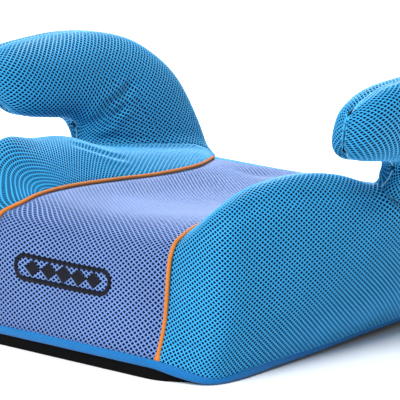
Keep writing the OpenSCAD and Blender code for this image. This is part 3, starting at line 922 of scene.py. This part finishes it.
# ---- Swept pieces: piping, binding, elastic, welts ----
def swept(name, path, sections, closed, materials, up=None):
    """Sweeps a section along a path. Each section is a ring of (out, up) offsets in millimetres;
    out is square to the path and to `up`. Its UV map is in millimetres along and round it."""
    path = np.asarray(path, float)
    n = len(path)
    ahead = np.roll(path, -1, 0) - np.roll(path, 1, 0)
    if not closed:
        ahead[0], ahead[-1] = path[1] - path[0], path[-1] - path[-2]
    ahead = unit(ahead)
    up = np.broadcast_to(np.asarray([0, 0, 1] if up is None else up, float), path.shape)
    out = unit(np.cross(ahead, up))
    rise = unit(np.cross(out, ahead))
    sections = np.asarray(sections, float)
    if sections.ndim == 2:
        sections = np.broadcast_to(sections, (n,) + sections.shape)
    m = sections.shape[1]
    points = (path[:, None] + out[:, None] * sections[..., :1]
              + rise[:, None] * sections[..., 1:]).reshape(-1, 3)
    last = n if closed else n - 1
    faces = [[k * m + j, k * m + (j + 1) % m, (k + 1) % n * m + (j + 1) % m, (k + 1) % n * m + j]
             for k in range(last) for j in range(m)]
    if not closed:
        faces += [list(range(m))[::-1], [(n - 1) * m + j for j in range(m)]]
    made = piece(name, points, faces, materials)
    run = travelled(np.concatenate([path, path[:1]]))
    girth = travelled(np.concatenate([sections[0], sections[0][:1]]))
    layer = made.data.uv_layers.new(name="cloth")
    uv = [(run[k + p], girth[j + q]) for k in range(last) for j in range(m)
          for p, q in ((0, 0), (0, 1), (1, 1), (1, 0))]
    if not closed:
        uv += [(0, 0)] * (2 * m)
    layer.data.foreach_set("uv", np.array(uv, float).ravel())
    facing_out = bmesh.new()
    facing_out.from_mesh(made.data)
    bmesh.ops.recalc_face_normals(facing_out, faces=facing_out.faces)
    facing_out.to_mesh(made.data)
    facing_out.free()
    return made


def oval(radius_out, radius_up, count):
    """A section for swept."""
    turn = np.arange(count) * 2 * math.pi / count
    return np.stack([radius_out * np.cos(turn), radius_up * np.sin(turn)], -1)


pipe_a = even_columns(centre_net, 0.0, 3.0, 0.012, 0.992)
pipe_line = spots(centre_net, pipe_a, np.zeros_like(pipe_a))
pipe_up = net_normals(centre_net, pipe_a, np.full_like(pipe_a, 0.001))
PIPE_R, PIPE_PROUD, TAB_LONG = 1.7, 0.9, 9
pipe_path = pipe_line + pipe_up * PIPE_PROUD
# The cord flattens into a wider tab where it is sewn in at the hem
tab = np.clip((TAB_LONG - travelled(pipe_path)) / TAB_LONG, 0, 1) ** 1.5
pipe_sections = np.stack([oval(PIPE_R + 2.2 * t, PIPE_R - 0.3 * t, 12) for t in tab])
right_piping = swept("right_piping_cord", pipe_path, pipe_sections, False, [orange_cord],
                     up=pipe_up)
left_piping = finish_mirror(right_piping, "left_piping_cord")

# The hem all round as one closed loop of even steps
HEM_STEPS = 400
hem_front = spots(centre_net, np.zeros(19), np.linspace(0.5, 0.02, 19))
hem_side = spots(side_net, np.linspace(0.0, 1.0, 91), np.zeros(91))
hem_rear = spots(rear_net, np.linspace(0.03, 0.5, 24), np.zeros(24))
hem_half = np.concatenate([hem_front, hem_side, hem_rear])
apart = np.linalg.norm(np.diff(hem_half, axis=0), axis=1) > 0.5
hem_half = hem_half[np.concatenate([[True], apart])]
hem_loop = np.concatenate([hem_half, mirrored(hem_half[-2:0:-1])])
hem_run = travelled(np.concatenate([hem_loop, hem_loop[:1]]))
hem_even = np.stack([np.interp(np.linspace(0, hem_run[-1], HEM_STEPS + 1)[:-1], hem_run,
                               np.append(hem_loop[:, k], hem_loop[0, k])) for k in range(3)], -1)
for _ in range(3):
    hem_even = (np.roll(hem_even, 1, 0) + 2 * hem_even + np.roll(hem_even, -1, 0)) / 4
# The tape ripples 23 and 9 times on its way round
wave = 0.35 * np.sin(np.arange(HEM_STEPS) * 2 * math.pi * 23 / HEM_STEPS) \
    + 0.25 * np.sin(np.arange(HEM_STEPS) * 2 * math.pi * 9 / HEM_STEPS + 1)
BINDING = [(1.1, -0.4), (1.9, 0.1), (2.5, 1.4), (2.6, 3.4), (2.3, 5.6), (1.7, 6.8), (0.9, 7.1),
           (0.4, 6.6), (0.5, 3.4), (0.3, 0.4)]
# The tape is folded under where it turns the front corners
folded = 1 - 0.5 * np.exp(-(np.linalg.norm(np.abs(hem_even) - [136, 30, 1], axis=1) / 20) ** 2)
binding = swept("hem_binding_tape", hem_even,
                [[(o + 0.25 * w, u * f + (0.5 * w if u > 4 else 0)) for o, u in BINDING]
                 for w, f in zip(wave, folded)], True, [blue_tape])
ELASTIC = [(-3.0, 0.5), (-3.0, 5.0), (-4.0, 5.0), (-4.0, 0.5)]
elastic = swept("hem_elastic_band", hem_even, [ELASTIC] * HEM_STEPS, True, [white_elastic])

# Overlocked seam along the outline of each armrest's cover
welt_line = welt_line[::2]
right_welt = swept("right_armrest_seam", welt_line, [oval(0.7, 0.7, 6)] * len(welt_line), False,
                   [blue_thread], up=[1, 0.01, -LEAN])
left_welt = finish_mirror(right_welt, "left_armrest_seam")


# ---- Badge ----
BADGE_LEFT, BADGE_LONG, BADGE_HIGH = 16, 104, 22   # off the middle, width and height
BADGE_START = 0.13                                 # its lower edge, as a share of the panel
PANEL_WIDE, PANEL_LONG = 184, 400
STROKE = 2.2                                       # half the frame's width, with its soft edge


def badge_height(u, v):
    """Raised thread of the badge over its cloth, with u and v in millimetres from its middle: a
    rounded frame and a row of lozenges in satin stitch."""
    corner = BADGE_HIGH / 2 - STROKE
    frame_gap = np.maximum(np.abs(u) - (BADGE_LONG / 2 - STROKE - corner), 0)
    to_frame = np.abs(np.hypot(frame_gap, v) - corner)
    body = 1.0 / (1 + np.exp((to_frame - 1.7) * 5))
    for k in range(-2, 3):
        size = 7.0 - 0.5 * abs(k)
        lozenge = np.abs(u - k * 16.5) / (size * 1.3) + np.abs(v) / size
        body = np.maximum(body, 1 / (1 + np.exp((lozenge - 1) * 14)))
    satin = 0.12 * np.cos(2 * math.pi * (u + 0.35 * v) / 0.9)
    return body, body * (1.0 + satin)


def front_badge(name):
    """The badge's thread: where badge_height is more than a thin edge, as a closed sheet."""
    a = np.linspace(BADGE_START, BADGE_START + BADGE_HIGH / PANEL_LONG, 53)
    b = 0.5 + (BADGE_LEFT + np.linspace(-BADGE_LONG, BADGE_LONG, 221) / 2) / PANEL_WIDE
    grid = left_fit(spots(centre_net, a[:, None], b[None, :]))
    normals = net_normals(centre_net, *np.meshgrid(a, b, indexing="ij"))
    u = np.broadcast_to((b.mean() - b)[None, :] * PANEL_WIDE, grid.shape[:2])
    v = np.broadcast_to(((a - a.mean()) * PANEL_LONG)[:, None], grid.shape[:2])
    mask, rise = badge_height(u, v)
    front, back = grid + normals * (0.15 + rise)[..., None], grid - normals * 0.3
    nj = mask.shape[1]
    kept = mask > 0.35
    kept = kept[:-1, :-1] & kept[1:, :-1] & kept[:-1, 1:] & kept[1:, 1:]
    faces = [[i * nj + j, (i + 1) * nj + j, (i + 1) * nj + j + 1, i * nj + j + 1]
             for i, j in np.argwhere(kept)]
    points, faces = closed_sheet(front.reshape(-1, 3), back.reshape(-1, 3), faces)
    return piece(name, points, faces, [navy_thread])


badge = front_badge("front_badge_embroidery")

# ---- Pads under the cover ----
PAD_INSET = 0.0012       # how far a pad is drawn in first, in metres
PAD_CELL = 0.0045        # its mesh's cells, in metres
PAD_SWELL = 1.4          # most that a pad swells
SWELL_STEPS = 20         # frames of its simulation


def pad(name, node):
    """A foam pad in its CAD solid's place, drawn in a little and then swollen by simulation."""
    mesh = frame["nodes"][node].data.copy()
    mesh.materials.clear()
    mesh.materials.append(soft_foam)
    made = placed(name, mesh)
    weld = made.modifiers.new("weld", "WELD")
    weld.merge_threshold = 0.00005
    remesh = made.modifiers.new("remesh", "REMESH")
    remesh.mode, remesh.voxel_size = "VOXEL", PAD_CELL
    applied(made)
    mesh = made.data
    start = vertex_values(mesh, "co") - vertex_values(mesh, "normal") * PAD_INSET
    if "armrest" in name:
        # The foam is pressed back by the seam round the nose of the sleeve
        depth = start[:, 1] / MM + FRONT_TO_ORIGIN
        start[:, 1] += 8 * MM * (1 - smooth_step(depth, 104, 140))
        # and squeezed thinner between the two halves of the sleeve, most of all at its foot
        height = start[:, 2] / MM
        middle = LEAN_X + (height - LEAN_Z) * LEAN
        squeeze = 0.62 + 0.26 * smooth_step(height, 125, 175)
        start[:, 0] = np.sign(start[:, 0]) * MM * (
            middle + (np.abs(start[:, 0]) / MM - middle) * squeeze)
    mesh.vertices.foreach_set("co", start.ravel())
    mesh.update()
    cloth = made.modifiers.new("cloth", "CLOTH")
    cloth.settings.use_pressure = True
    cloth.settings.uniform_pressure_force = 4
    cloth.settings.effector_weights.gravity = 0
    cloth.collision_settings.use_collision = False
    for step in range(1, SWELL_STEPS + 1):
        scene.frame_set(step)
    move = vertex_values(worked_out(made).data, "co") - start
    made.modifiers.clear()
    far = np.linalg.norm(move, axis=1, keepdims=True)
    move *= np.minimum(1, PAD_SWELL * MM / np.maximum(far, 1e-9))
    mesh.vertices.foreach_set("co", (start + move).ravel())
    mesh.update()
    scene.frame_set(1)
    mesh.polygons.foreach_set("use_smooth", [True] * len(mesh.polygons))
    settle(made, node, slot="soft_foam")


pad("seat_cushion_foam", "seat_pad")
for part in ("bolster", "armrest"):
    for hand in ("left", "right"):
        pad(f"{hand}_{part}_foam", f"{hand}_{part}_pad")

# ---- Finishes of the carried-over nodes ----
for node, material in (("base_pan", black_plastic), ("pan_screws", zinc_steel),
                       ("seat_core", core_foam), ("left_armrest_frame", grey_plastic),
                       ("right_armrest_frame", grey_plastic), ("armrest_screws", zinc_steel),
                       ("hem_clips", black_plastic)):
    for holder in frame["nodes"][node].material_slots:
        holder.material = material

# ---- What each piece stands for ----
for made, node, finish in (
        (centre, "centre_panel", "lavender_mesh"), (right_side, "right_side_panel", "blue_mesh"),
        (left_side, "left_side_panel", "blue_mesh"), (rear, "rear_panel", "blue_mesh"),
        (right_sleeve, "right_armrest_sleeve", "blue_mesh"),
        (left_sleeve, "left_armrest_sleeve", "blue_mesh"),
        (right_piping, "right_piping", "orange_piping"),
        (left_piping, "left_piping", "orange_piping"), (binding, "hem_binding", "blue_tape"),
        (elastic, "hem_elastic", "white_elastic"), (badge, "front_badge", "navy_thread")):
    settle(made, node, slot=finish)
settle(right_welt, slot="blue_mesh")
settle(left_welt, slot="blue_mesh")

# ---- Floor ----
floor_stuff, floor_tree, floor_shader = surface("pale studio floor", 0.7, Specular_IOR_Level=0.2)
paper = add(floor_tree, "ShaderNodeTexNoise", {"Vector": object_place(floor_tree), "Scale": 4.0})
paint(floor_tree, floor_shader,
      ramp(floor_tree, paper.outputs["Fac"], (0.0, "#fbfbfb"), (1.0, "#fefefe")))
floor = piece("studio_floor", [[-20000, -20000, -0.3], [20000, -20000, -0.3],
                               [20000, 20000, -0.3], [-20000, 20000, -0.3]], [[0, 1, 2, 3]],
              [floor_stuff])
